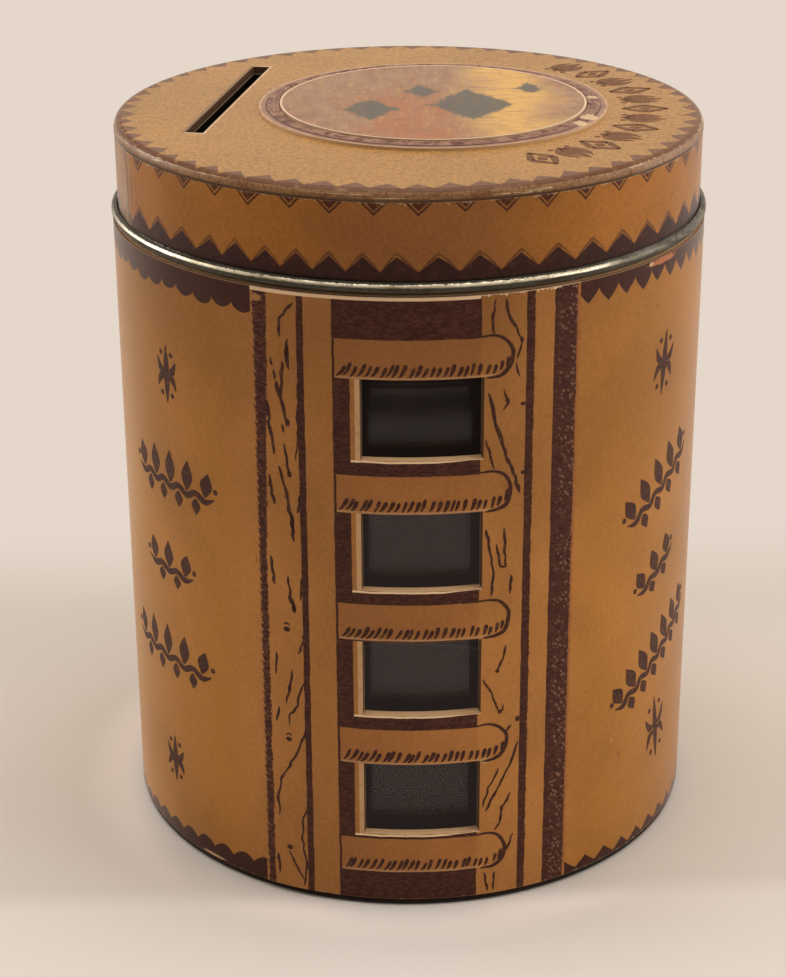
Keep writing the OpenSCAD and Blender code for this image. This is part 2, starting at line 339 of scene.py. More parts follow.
def makeWrapPaper(w):
    spot = startMaterial("printedWrapPaper", wrapRadius)
    shake = swing(grain(spot, 0.4, 2), w["handShake"])
    rough = swing(grain(spot, 2.2, 3, 0.75, offset=(9, 4, 2)), w["raggedness"])
    arc = add(spot.arc, shake)
    high = add(spot.z, mul(shake, 0.7))
    wear = grain(spot, 1.1, 3, 0.7, offset=(5, 5, 5))

    # borders of teeth at the top and the bottom, rounded on the left and pointed on the right
    outside = inverse(between(spot.arc, *w["panel"], 0.04))
    pointedSide = smaller(ramp(spot.angle, -20, -10), ramp(spot.angle, 165, 120))
    border = above(high, add(topBorder(w, spot, pointedSide), mul(rough, 0.15)))
    border = larger(border, above(add(lowBorder(w, spot, pointedSide), mul(rough, 0.12)), high))

    # the ladder panel: strips, lines and the dark ground between the rungs
    tuft = fraction(add(mul(spot.z, 0.8), mul(spot.arc, 0.5)))
    taper = ramp(spot.z, *w["stripTaper"], smooth=False)
    ragStrip = between(add(arc, rough), sub(w["raggedStrip"][0], mul(tuft, 0.4)),
                       add(w["raggedStrip"][1], taper))
    fringed = add(arc, mul(rough, ramp(arc, 15, 15.6, 0.1, 0.5)))
    stipple = between(add(arc, mul(rough, ramp(arc, 19.5, 22, 0.12, 0.6))), *w["stippleStrip"])
    strip = larger(ragStrip, stipple)
    for place, line in ((arc, "railLine"), (arc, "thinLine"), (fringed, "rightLine")):
        strip = larger(strip, between(place, *w[line]))
    stripEdge = w["stippleStrip"][1]
    halo = between(add(arc, rough), stripEdge - 0.5, stripEdge + 0.35, 0.3)
    rungs, rungLip = 0, 0
    for foot in w["rungLow"]:
        rungs = larger(rungs, between(high, foot, foot + w["rungHeight"]))
        rungLip = larger(rungLip, between(high, foot, foot + 0.32))
    margins, sills = 0, 0
    side = between(add(spot.arc, mul(shake, 0.5)), -w["windowHalf"] - w["marginSide"], w["windowHalf"])
    under = ramp(spot.arc, 2, 7, *w["marginUnder"])
    for sill in w["windowLow"]:
        edge = sub(sill, under)
        margins = larger(margins, mul(side, between(high, edge, sill + w["windowHeight"])))
        sills = larger(sills, mul(side, between(high, edge, sill)))
    ground = mul(between(arc, *w["ground"]), mul(inverse(rungs), inverse(margins)))
    ink = larger(mul(border, outside), mul(larger(strip, ground), inverse(outside)))

    # light specks that stand in the ink, in slanting rows on the stippled strip
    slant = join3(add(spot.arc, mul(spot.z, 0.45)), mul(spot.z, 0.7), 0)
    dots = ramp(add(pebble(slant, 1.8, randomness=0.8), mul(shake, 0.3)), 0.44, 0.24)
    dots = mul(dots, ramp(grain(spot, 0.2, 2, offset=(3, 0, 7)), 0.3, 0.46))
    dots = mul(dots, mul(stipple, ramp(spot.arc, 19.3, 20.4)))
    mottle = ramp(grain(spot, 1.2, 4, 0.75, stretch=(1, 1, 2.4), offset=(0, 5, 0)), 0.42, 0.64)
    mottle = mul(mottle, add(add(0.12, mul(inverse(outside), 0.3)), mul(ragStrip, 0.35)))

    # worn paper along the cut edges and little scuffs
    foot = above(add(w["foot"], mul(ramp(wear, 0.55, 0.7), 0.25)), spot.z, 0.05)
    smoothEdge = mul(between(spot.arc, w["panel"][0], 8), 0.42)
    chipped = mul(mul(between(spot.arc, 8, 20), ramp(wear, 0.45, 0.62)), 0.3)
    top = above(spot.z, sub(w["top"], larger(smoothEdge, chipped)), 0.05)
    lapEdge = between(spot.arc, w["panel"][0], add(w["panel"][0] + 0.1, mul(wear, 0.5)), 0.05)
    scuffs = ramp(grain(spot, 0.55, 4, 0.75, offset=(1, 8, 3)), 0.71, 0.76)
    marks = ramp(grain(spot, 0.8, 2, 0.6, stretch=(1, 1, 0.35), offset=(7, 1, 9)), 0.73, 0.77)
    rim = larger(mul(between(spot.arc, -9.3, -8.6), margins),
                 mul(mul(rungLip, 0.5), between(spot.arc, -12, 11.5)))

    base = mix(between(spot.arc, -28, w["panel"][1], 5), w["tan"], w["panelTan"])
    base = mix(mul(rungs, between(spot.arc, *w["ground"], 0.4)), base, w["rungTan"])
    base = coats(leatherTone(spot, base), w,
                 # painted shade: darker towards the top, under the lid, and at the front near the top
                 (ramp(spot.z, 40, 98), 0.18, "ink"),
                 (ramp(spot.z, 58, 98), mul(ramp(spot.turned, 26, 12), 0.2), "ink"),
                 (ramp(spot.z, 40, 0), 0.08, "ink"),
                 # painted sheen: a paler tan on the left side
                 (between(spot.angle, -115, -68, 16), 0.5, "paintedSideSheen"),
                 # painted shade: darker on the right side, lower down
                 (mul(between(spot.angle, 48, 130, 18), ramp(spot.z, 75, 25)), 0.13, "ink"),
                 (halo, 0.8, "halo"),
                 (rim, ramp(wear, 0.3, 0.5, 0.5, 0.85), "paleEdge"),
                 # pale paper under each window, brightened near white as a painted highlight of the lit sill
                 (sills, 1, "sillEdgeHighlight"),
                 (marks, 0.55, "ink"),
                 (scuffs, 0.35, "paleEdge"))
    dark = coats(w["ink"], w, (mottle, 1, "inkSpeck"),
                 # painted sheen: the ink paler on both sides
                 (between(spot.turned, 64, 112, 16), 0.6, "paintedInkSheen"), (dots, 0.55, "stipple"))
    colour = coats(mix(ink, base, dark), w, (lapEdge, 0.35, "wornTan"), (foot, 0.4, "paleEdge"))
    colour = mix(mul(top, 0.9), colour, mix(mul(outside, 0.7), w["topEdge"], w["halo"]))
    for arcAt, highAt, wide, tall, tone in w["marks"]:
        away = farFrom(over(sub(spot.arc, arcAt), wide), over(sub(spot.z, highAt), tall))
        away = add(away, swing(wear, 1.3))
        colour = coats(colour, w, (above(1, away, 0.2), 0.9, tone))
    return finishLeather(spot, colour, mul(ink, -0.25))


print("printed papers")
dress("side_wrap", makeWrapPaper(wrap))

# Paper on the lid's top, with a border of teeth that point inwards and a worn turned-down rim
lidPaper = dict(
    tan=(164, 116, 55),
    ink=(98, 56, 25),
    worn=(150, 108, 70),
    pale=(214, 182, 142),
    grimeAndShade=(62, 42, 28),
    teeth=dict(count=61, first=-0.5),
    toothTip=40.5,
    toothRoot=42.8,
    rim=43.5,  # radius where it turns down
    bend=110.25,  # and how high
    paintedShadowLine=(109.55, 109.2),
    within=42.3,  # upright faces nearer the axis are the slot's cut edge
)
lidSlot = dict(
    centre=(-26.85, 8.26),
    turn=12.4,  # degrees between the slot and the Y axis
    half=21,  # half its length
    reach=1.4,  # half its width
    sink=0.03,  # of the lining, under the lid's top
    lipDepth=1.4,
    lipWall=0.12,
    paperDepth=1.12,
    tinEdge=0.22,
    lining=(88, 57, 34),
    tin=(160, 144, 118),
    # painted shade deep in the slot
    dark=(50, 46, 39),
)


def slotPlaces(spot):  # distance across the slot, from its middle, and along it
    turn = radians(lidSlot["turn"])
    x, y = (sub(value, middle) for value, middle in zip((spot.x, spot.y), lidSlot["centre"]))
    across = sub(mul(x, cos(turn)), mul(y, sin(turn)))
    return across, add(mul(x, sin(turn)), mul(y, cos(turn)))


def makeLidPaper(p):
    spot = startMaterial("printedLidPaper")
    wear = grain(spot, 0.7, 3, 0.7)
    _, pointed, jitter = wave(spot, p["teeth"], 7)
    edge = sub(p["toothRoot"], mul(pointed, p["toothRoot"] - p["toothTip"]))
    ink = above(add(spot.radius, swing(grain(spot, 0.5, 2), 0.5)), add(edge, mul(jitter, 0.6)))

    # the rim, worn through in streaks, with a painted shadow line along its lower edge
    around = join3(mul(spot.angle, 0.06), mul(spot.z, 1.6), mul(spot.radius, 1.6))
    streaks = grain(around, 1, 3, 0.7)
    rimEdge = add(p["rim"], swing(wear, 2.1))
    rim = larger(above(spot.radius, rimEdge, 0.08), above(p["bend"], spot.z, 0.08))
    flecks = ramp(grain(spot, 2.3, 3, 0.75, offset=(2, 2, 2)), 0.46, 0.62)
    stains = ramp(grain(spot, 0.4, 3, 0.7, offset=(8, 0, 4)), 0.52, 0.62)
    rimColour = coats(p["worn"], p, (ramp(streaks, 0.56, 0.63), 1, "pale"),
                      # painted shadow along the rim's lower edge
                      (ramp(spot.z, *p["paintedShadowLine"]), 0.85, "grimeAndShade"),
                      (flecks, 0.5, "grimeAndShade"), (stains, 0.5, "ink"))

    pores = ramp(pebble(spot, leather["cellsOnTop"]), 0.45, 0.75)
    marks = ramp(grain(spot, 0.5, 3, 0.7, offset=(4, 1, 6)), 0.72, 0.8)
    colour = coats(leatherTone(spot, p["tan"], 0.93, 1.06, 1.6, (1.4, 0.75, 1)), p,
                   (pores, 0.24, "grimeAndShade"), (marks, 0.35, "grimeAndShade"),
                   (ink, ramp(wear, 0.3, 0.55, 0.78, 1), "ink"))
    colour = mix(rim, colour, rimColour)

    # pale lines along the slot's right edge and its ends, pale paper edge with a painted highlight, and a
    # dark line along its left edge
    across, along = slotPlaces(spot)
    half, reach = lidSlot["half"], lidSlot["reach"]
    within = above(half + 0.4, absolute(along))
    ends = mul(above(absolute(along), half), between(across, -1.3, reach + 0.35))
    paleEdgeAndHighlight = larger(between(across, reach, add(reach, mul(wear, 0.5)), 0.08), ends)
    darkLine = between(across, -reach - 0.4, -reach + 0.1, 0.2)
    cutFace = mul(inverse(ramp(spot.level, 0.3, 0.5)), inverse(above(spot.radius, p["within"])))
    colour = coats(colour, p, (mul(paleEdgeAndHighlight, within), ramp(wear, 0.22, 0.42, 0.3, 0.85), "pale"),
                   (mul(darkLine, within), 0.55, "grimeAndShade"), (cutFace, 1, "pale"))
    return finishLeather(spot, colour, mul(rim, mul(streaks, 2)), "OnTop")


dress("lid_top_paper", makeLidPaper(lidPaper))

# Paper round the lid's skirt: double-lined triangles hang from its top, a zigzag stands on the bead
skirtPaper = dict(
    tan=(164, 103, 38),
    paintedFrontShade=(104, 68, 62),
    ink=(52, 24, 18),
    inkBrown=(102, 52, 28),
    pale=(196, 160, 122),
    fray=(166, 134, 98),
    zigzag=dict(count=49, first=3.1, crowded=(-4.3, -41.4)),
    zigTip=101.35,
    zigRoot=99.25,
    outline=0.52,
    drops=dict(count=46, first=-0.45),
    dropTop=109.2,
    dropDeep=1.95,
    dropHalf=1.95,
    seam=-69,  # degrees
    top=108.96,
)


def makeSkirtPaper(p):
    radius = -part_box("lid_skirt_paper")[0].y / mm
    spot = startMaterial("printedSkirtPaper", radius)
    high = add(spot.z, swing(grain(spot, 0.6, 2), 0.35))
    wear = grain(spot, 1.2, 3, 0.7, offset=(2, 7, 1))

    # the zigzag and the line that follows it
    _, pointed, jitter = wave(spot, p["zigzag"], 11)
    edge = add(p["zigRoot"], mul(pointed, p["zigTip"] - p["zigRoot"]))
    edge = add(edge, mul(jitter, 0.4))
    ink = above(edge, high)
    lineAt = add(edge, mul(ramp(pointed, 0.1, 0.9, 0.35, 1), p["outline"]))
    outline = mul(between(sub(high, lineAt), -0.16, 0.14, 0.08), ramp(pointed, 0.12, 0.3))
    gap = between(sub(high, edge), 0, sub(lineAt, edge))

    # the hanging triangles. Where two of them meet, the gap under that line is left tan
    _, pointed, jitter = wave(spot, p["drops"], 13)
    gap = mul(gap, ramp(pointed, 0.12, 0.3))
    pitch = radians(360 / p["drops"]["count"]) * radius
    away = mul(inverse(pointed), pitch / 2)
    deep = mul(sub(p["dropTop"], high), p["dropHalf"] / p["dropDeep"])
    reach = sub(add(p["dropHalf"], mul(jitter, 0.5)), deep)
    inner = mul(above(sub(reach, 0.7), away), inverse(mul(above(sub(reach, 1.5), away, 0.2), 0.3)))
    drop = larger(inner, between(sub(away, reach), -0.42, 0, 0.09))

    # the frayed seam and the worn upper edge
    beyond = sub(p["seam"], spot.angle)
    fibres = grain(spot, 0.8, 3, 0.7, stretch=(1.6, 1.6, 0.25), offset=(0, 3, 0))
    seamLine = between(add(beyond, swing(wear, 1.8)), -0.5, 0.45, 0.2)
    topEdge = above(spot.z, sub(p["top"], mul(ramp(wear, 0.5, 0.75), 0.5)), 0.05)
    blotches = ramp(grain(spot, 0.9, 4, 0.75, offset=(6, 2, 5)), 0.45, 0.7, 0, 0.4)
    tones = {**p, "drop": mix(0.6, p["inkBrown"], p["ink"]), "dark": mix(blotches, p["ink"], p["inkBrown"])}
    colour = coats(leatherTone(spot, p["tan"], fibres=0.7), tones,
                   # painted shade: darker at the front
                   (ramp(spot.turned, 30, 8), 0.25, "paintedFrontShade"),
                   (gap, 0.55, "inkBrown"),
                   (outline, 0.6, "ink"),
                   (drop, ramp(wear, 0.3, 0.45, 0.7, 1), "drop"),
                   (ink, 1, "dark"),
                   (between(beyond, -1, mul(wear, 20), 2), ramp(fibres, 0.35, 0.6, 0.2, 0.85), "fray"),
                   (mul(between(beyond, -5, 16, 3), ramp(fibres, 0.5, 0.36)), 0.45, "inkBrown"),
                   (seamLine, 0.8, "inkBrown"),
                   (topEdge, 0.7, "pale"))
    return finishLeather(spot, colour, mul(ink, -0.25))


dress("lid_skirt_paper", makeSkirtPaper(skirtPaper))

# Tin of the lid, with bright and tarnished stretches on the bead, the tarnish partly painted shade that
# keeps the bright band only at the front, and the black tin of the end
tin = dict(
    bright=(224, 215, 190),
    warm=(136, 120, 86),
    tarnishAndShade=(34, 27, 18),
    slotGrime=(122, 92, 60),
    highlightBand=(97.42, 97.8),  # the bright line round the bead, left clear of the painted shade
    # painted shade on the bead's lower half, under this height
    paintedShadeBelow=97.3,
    # tarnish and painted shade beside the bright band
    asideTarnishAndShade=(0.84, 0.98),
    beadFrom=43.3,  # radius
    grimeWithin=40,
)
endTin = dict(black=(30, 17, 9), chip=(80, 60, 42))


def makeLidTin(t):
    spot = startMaterial("lidTinPlate")
    streaks = grain(join3(mul(spot.angle, 0.12), mul(spot.z, 0.9), 0), 1, 4, 0.7)
    specks = grain(spot, 2.2, 4, 0.75)
    spots = ramp(specks, 0.58, 0.66)
    level = add(spot.z, swing(specks, 0.35))
    # tarnish and painted shade over the bead, except the bright band at the front
    highlightZone = smaller(ramp(spot.angle, 44, 28), ramp(spot.angle, -90, -68))
    aside = larger(ramp(streaks, 0.35, 0.65, *t["asideTarnishAndShade"]), above(t["paintedShadeBelow"], level, 0.15))
    tarnishAndShade = blend(highlightZone, aside, inverse(between(level, *t["highlightBand"], 0.07)))
    tarnishAndShade = mul(mul(tarnishAndShade, above(spot.radius, t["beadFrom"])), 0.92)
    inside = above(t["grimeWithin"], spot.radius, 0.5)
    colour = coats(t["bright"], t, (ramp(streaks, 0.4, 0.75), 1, "warm"), (tarnishAndShade, 1, "tarnishAndShade"),
                   (spots, 1, "tarnishAndShade"), (inside, 1, "slotGrime"))
    dullness = larger(mul(spots, 0.3), mul(tarnishAndShade, 0.16))
    roughness = add(0.2, add(mul(streaks, 0.14), dullness))
    return finishSurface(colour, roughness, add(specks, streaks), 0.012, specular=0.1,
                         Metallic=inverse(larger(inside, mul(tarnishAndShade, 0.9))))


def makeEndTin(t):
    spot = startMaterial("blackLacqueredTin")
    colour = coats(t["black"], t, (ramp(grain(spot, 1.4, 3, 0.7), 0.66, 0.72), 1, "chip"))
    roughness = add(0.35, mul(grain(spot, 0.4, 3), 0.25))
    return finishSurface(colour, roughness, grain(spot, 1.8, 3), 0.01, specular=0.15)


print("tin, board and glass")
dress("lid_shell", makeLidTin(tin))
dress("base_end", makeEndTin(endTin))

board = dict(
    inside=(150, 130, 112),
    cut=(255, 205, 150),
    fibre=(112, 86, 62),
    grimeAndShade=(84, 60, 44),  # painted shade of the windows' side walls
    plies=4.6,  # in a millimetre of the wall
    skin=0.12,  # what is deeper in the wall than this is cut
    tubeBore=42.88,
    collarBore=41.86,
)


# Wound board: pale where it is cut, with the plies' lines, brown inside, and painted shade on the windows'
# side walls
def makeBoard(name, b, bore):
    spot = startMaterial(name)
    fibres = grain(spot, 1.4, 4, 0.7, stretch=(1, 1, 2.5))
    plies = sine(mul(spot.radius, b["plies"] * 2 * pi))
    deep = above(spot.radius, bore + b["skin"])
    cut = larger(deep, ramp(spot.level, 0.4, 0.6))
    edge = coats(b["cut"], b, (ramp(plies, 0.2, 0.9), 0.12, "fibre"),
                 # painted shade on deep cut faces that don't face up
                 (mul(deep, ramp(spot.up, 0.6, 0.2)), 0.92, "grimeAndShade"))
    colour = coats(mix(cut, b["inside"], edge), b, (ramp(fibres, 0.55, 0.8), 0.3, "fibre"))
    return finishSurface(colour, 0.85, add(fibres, mul(plies, 0.2)), 0.03, specular=0.2)


dress("body_tube", makeBoard("woundTubeBoard", board, board["tubeBore"]))
dress("neck_collar", makeBoard("collarBoard", board, board["collarBore"]))

glass = dict(
    tint=(190, 178, 168),
    shaded=(170, 160, 151),
    shadeFrom=(66, 71),  # heights
    bloom=(1, 0.77, 0.74, 1),  # a very faint glow, for the stray light inside the canister
    bloomStrength=0.0062,
    gloss={"IOR": 1.28, "specular": 0.05, "Transmission Weight": 0.988},
)


def makeGlass(g):
    spot = startMaterial("jarGlass")
    ripple = grain(spot, 0.07, 2, stretch=(1, 1, 0.4))
    streaks = grain(spot, 0.22, 2, stretch=(1, 1, 0.15), offset=(0, 0, 3))
    shade = mul(ramp(spot.z, *g["shadeFrom"]), ramp(streaks, 0.35, 0.65, 1, 0.85))
    bloom = {"Emission Color": g["bloom"],
             "Emission Strength": mul(inverse(mul(shade, 0.9)), g["bloomStrength"])}
    return finishSurface(mix(shade, g["tint"], g["shaded"]), 0.02, ripple, 0.25, **g["gloss"], **bloom)


dress("glass_jar", makeGlass(glass))

# Card label with its border, and the picture card on it
label = dict(
    ring=(154, 116, 92),
    ringDark=(100, 60, 48),
    card=(206, 170, 128),
    chips=((26, -8.3, 1.3), (24.4, -11.8, 1.1), (28, 3.6, 0.8)),  # place and radius
)


def chipsOf(spot, wear):  # chipped places of the label and of the wrinkles on it
    chipped = 0
    for x, y, size in label["chips"]:
        away = farFrom(sub(spot.x, x - labelCentre.x), sub(spot.y, y - labelCentre.y))
        chipped = larger(chipped, above(size, add(away, swing(wear, 1.6)), 0.12))
    return chipped


def makeLabel(p):
    spot = startMaterial("borderedLabelCard", centre=labelCentre)
    wear = grain(spot, 0.8, 3, 0.7)
    base = mix(ramp(grain(spot, 0.35, 3), 0.35, 0.7), p["ring"], mix(0.35, p["ring"], p["ringDark"]))
    outer = mul(above(add(spot.radius, swing(wear, 0.9)), labelRadius - 0.2, 0.08), 0.75)
    pale = larger(larger(outer, inverse(ramp(spot.level, 0.4, 0.6))), chipsOf(spot, wear))
    return finishSurface(mix(pale, base, p["card"]), 0.5, add(wear, mul(pale, -0.6)), 0.03, specular=0.35)


dress("label_disc", makeLabel(label))

picture = dict(
    haze=(152, 113, 81),
    rose=(137, 90, 57),
    orange=(154, 88, 36),
    gold=(208, 156, 72),
    slate=(70, 64, 50),
    shadow=(116, 72, 44),
    edge=(214, 180, 144),
    # slate lozenges on the washes of colour: x and y from the label's centre, half height
    lozenges=((-9.5, -5, 6.2), (-1.5, 5.5, 4), (5.5, -3, 9.5), (15, 6.5, 3.2)),
)


# Brushed washes of dusk colours with a few soft slate lozenges
def makePicture(p):
    spot = startMaterial("glossyPictureCard", centre=labelCentre)
    brush = grain(spot, 0.22, 4, 0.6, stretch=(2.2, 0.8, 1))
    strokes = grain(spot, 0.5, 4, 0.7, stretch=(3.2, 0.6, 1), offset=(7, 3, 0))
    streaks = grain(spot, 0.45, 4, 0.7, stretch=(0.5, 3, 1), offset=(2, 9, 0))
    fine = grain(spot, 0.6, 3, 0.6, stretch=(2.5, 0.5, 1), offset=(1, 1, 0))
    bend = swing(grain(spot, 0.085, 3, 0.6, offset=(3, 8, 0)), 14)
    across = add(spot.x, bend)
    glow = mul(between(across, -11, 3, 4), ramp(add(spot.y, bend), 13, -5))
    frayed = add(swing(brush, 5), swing(fine, 4))
    shapes = 0
    for x, y, half in p["lozenges"]:
        away = add(mul(absolute(sub(spot.x, x)), 1.5), absolute(sub(spot.y, y)))
        shapes = larger(shapes, above(half, add(away, frayed), 1))
    worn = above(add(spot.radius, mul(brush, 0.3)), pictureRadius - 0.15, 0.08)
    colour = coats(p["haze"], p,
                   (ramp(brush, 0.3, 0.7), 1, "rose"),
                   (glow, ramp(brush, 0.3, 0.6, 0.6, 1), "orange"),
                   (between(across, 6.5, 17, 4.5), ramp(brush, 0.25, 0.5, 0.5, 1), "gold"),
                   (ramp(strokes, 0.5, 0.75), 0.45, "gold"),
                   (ramp(streaks, 0.48, 0.72), 0.7, "shadow"),
                   (shapes, ramp(fine, 0.2, 0.5, 0.7, 0.97), "slate"),
                   (larger(inverse(ramp(spot.level, 0.4, 0.6)), worn), 1, "edge"))
    return finishSurface(colour, 0.3, grain(spot, 0.25, 2), 0.05, specular=0.26)


dress("picture_disc", makePicture(picture))

# Ink drawn in single strokes: flat ribbons on the paper. A stroke's points give arc length, height and width
print("ink strokes")
stroke = dict(
    lift=0.02,
    thickness=0.03,
    least=0.07,  # narrowest width
    wiggle=0.13,
    step=0.8,  # between the points of a shaky stroke
    seed=7,
    rayStart=60,  # radius from which a stroke is cast on the wrap, and how far
    rayLength=20,
)


def part(share, ends):  # the value at this share of the way between two
    return ends[0] + (ends[1] - ends[0]) * share


def smoothPath(points, steps):
    path = []
    for k in range(len(points) - 1):
        corners = (points[max(k - 1, 0)], points[k], points[k + 1], points[min(k + 2, len(points) - 1)])
        for i in range(steps):
            t = i / steps
            path.append(tuple(0.5 * (2 * b + (c - a) * t + (2 * a - 5 * b + 4 * c - d) * t * t
                                     + (3 * b - a - 3 * c + d) * t ** 3) for a, b, c, d in zip(*corners)))
    path.append(points[-1])
    return path


def addRibbon(bm, points, lay, steps=5):
    path = smoothPath(points, steps)
    last = len(path) - 1
    strip = bmesh.ops.create_grid(bm, x_segments=last, y_segments=1, size=1)
    for vert in strip["verts"]:
        k = round((vert.co.x + 1) / 2 * last)
        before, after = path[max(k - 1, 0)], path[min(k + 1, last)]
        along = Vector((after[0] - before[0], after[1] - before[1])).normalized()
        side = vert.co.y * max(path[k][2], stroke["least"]) / 2
        vert.co = lay(path[k][0] - along.y * side, path[k][1] + along.x * side)


def addBlob(bm, centre, radii, lay, corners=10):
    made = bmesh.ops.create_circle(bm, cap_ends=True, segments=corners, radius=1)
    for vert in made["verts"]:
        vert.co = lay(centre[0] + vert.co.x * radii[0], centre[1] + vert.co.y * radii[1])


def makePiece(name, bm, material, wall=0, offset=-1):  # wall: how thick its faces become
    mesh = bpy.data.meshes.new(name)
    bm.to_mesh(mesh)
    bm.free()
    mesh.materials.append(material)
    piece = bpy.data.objects.new(name, mesh)
    scene.collection.objects.link(piece)
    if wall:
        shell = piece.modifiers.new("wall", "SOLIDIFY")
        shell.thickness = wall * mm
        shell.offset = offset
    return piece


def finishInk(name, bm, outward, body, material):
    bm.normal_update()
    for face in bm.faces:
        if face.normal.dot(outward(face.calc_center_median())) < 0:
            face.normal_flip()
    piece = makePiece(name, bm, material, stroke["thickness"])
    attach(piece, body)


wrapMesh = nodes["side_wrap"].data
wrapTree = BVHTree.FromPolygons([vert.co.copy() for vert in wrapMesh.vertices],
                                [face.vertices for face in wrapMesh.polygons])


def onWrap(arc, high):
    angle = arc / wrapRadius
    outward = Vector((sin(angle), -cos(angle), 0))
    start = outward * stroke["rayStart"] * mm + Vector((0, 0, high * mm))
    hit = wrapTree.ray_cast(start, -outward, stroke["rayLength"] * mm)[0]
    radius = wrapRadius * mm if hit is None else max(wrapRadius * mm, Vector((hit.x, hit.y)).length)
    return outward * (radius + stroke["lift"] * mm) + Vector((0, 0, high * mm))


def fromAxis(point):
    return Vector((point.x, point.y, 0))


def makeInk(name, colours, share=0.3):
    spot = startMaterial(name)
    specks = ramp(grain(spot, 2.1, 3, 0.7), 0.5, 0.72)
    colour = coats(colours["ink"], colours, (specks, share, "tan"))
    return finishSurface(colour, 0.5, grain(spot, 1.5, 2), 0.01, specular=0.22)


strokeInk = makeInk("strokeInk", wrap)

rung = dict(
    ends=(-11.7, 11.6),
    pitch=0.97,
    hatchHeight=(1.75, 1.6),  # at the left and the right end
    hatchLean=(1.15, 0.4),
    hatchWidth=0.54,
    hatchFoot=0.35,
    bend=10,  # where the end's curve begins
    # one hatch stroke, as shares of its lean, height and width
    comma=((0, 0, 0.3), (0.5, 0.35, 0.85), (0.85, 0.8, 1), (1, 1, 0.4)),
    # from the top edge round the end and back under it: arc length, height within the rung, width
    outline=((5.6, 5.85, 0.2), (8.2, 5.85, 0.28), (9.8, 5.9, 0.36), (11.4, 5.4, 0.46), (12.45, 3.9, 0.55),
             (12.6, 2.4, 0.62), (12, 0.9, 0.65), (10.8, 0.1, 0.55), (9.4, -0.1, 0.35),
             (8.8, -0.1, 0.15)),
)


def drawRungs(r, seed):
    draw = random.Random(seed)
    bm = bmesh.new()
    for foot in wrap["rungLow"]:
        outline = [(arc + draw.uniform(-0.1, 0.1), foot + up + draw.uniform(-0.08, 0.08), wide)
                   for arc, up, wide in r["outline"]]
        addRibbon(bm, outline, onWrap)
        count = round((r["ends"][1] - r["ends"][0]) / r["pitch"])
        for k in range(count + 1):
            share = k / count
            arc = part(share, r["ends"]) + draw.uniform(-0.2, 0.2)
            high = foot + r["hatchFoot"] + 0.5 * max(0, arc - r["bend"]) + draw.uniform(-0.08, 0.12)
            tall = part(share, r["hatchHeight"]) * draw.uniform(0.8, 1.12)
            lean = part(share, r["hatchLean"]) * draw.uniform(0.8, 1.2)
            wide = r["hatchWidth"] * draw.uniform(0.85, 1.2)
            addRibbon(bm, [(arc + lean * x, high + tall * y, wide * w) for x, y, w in r["comma"]], onWrap, 4)
    finishInk("rungInk", bm, fromAxis, "canister", strokeInk)


drawRungs(rung, stroke["seed"])

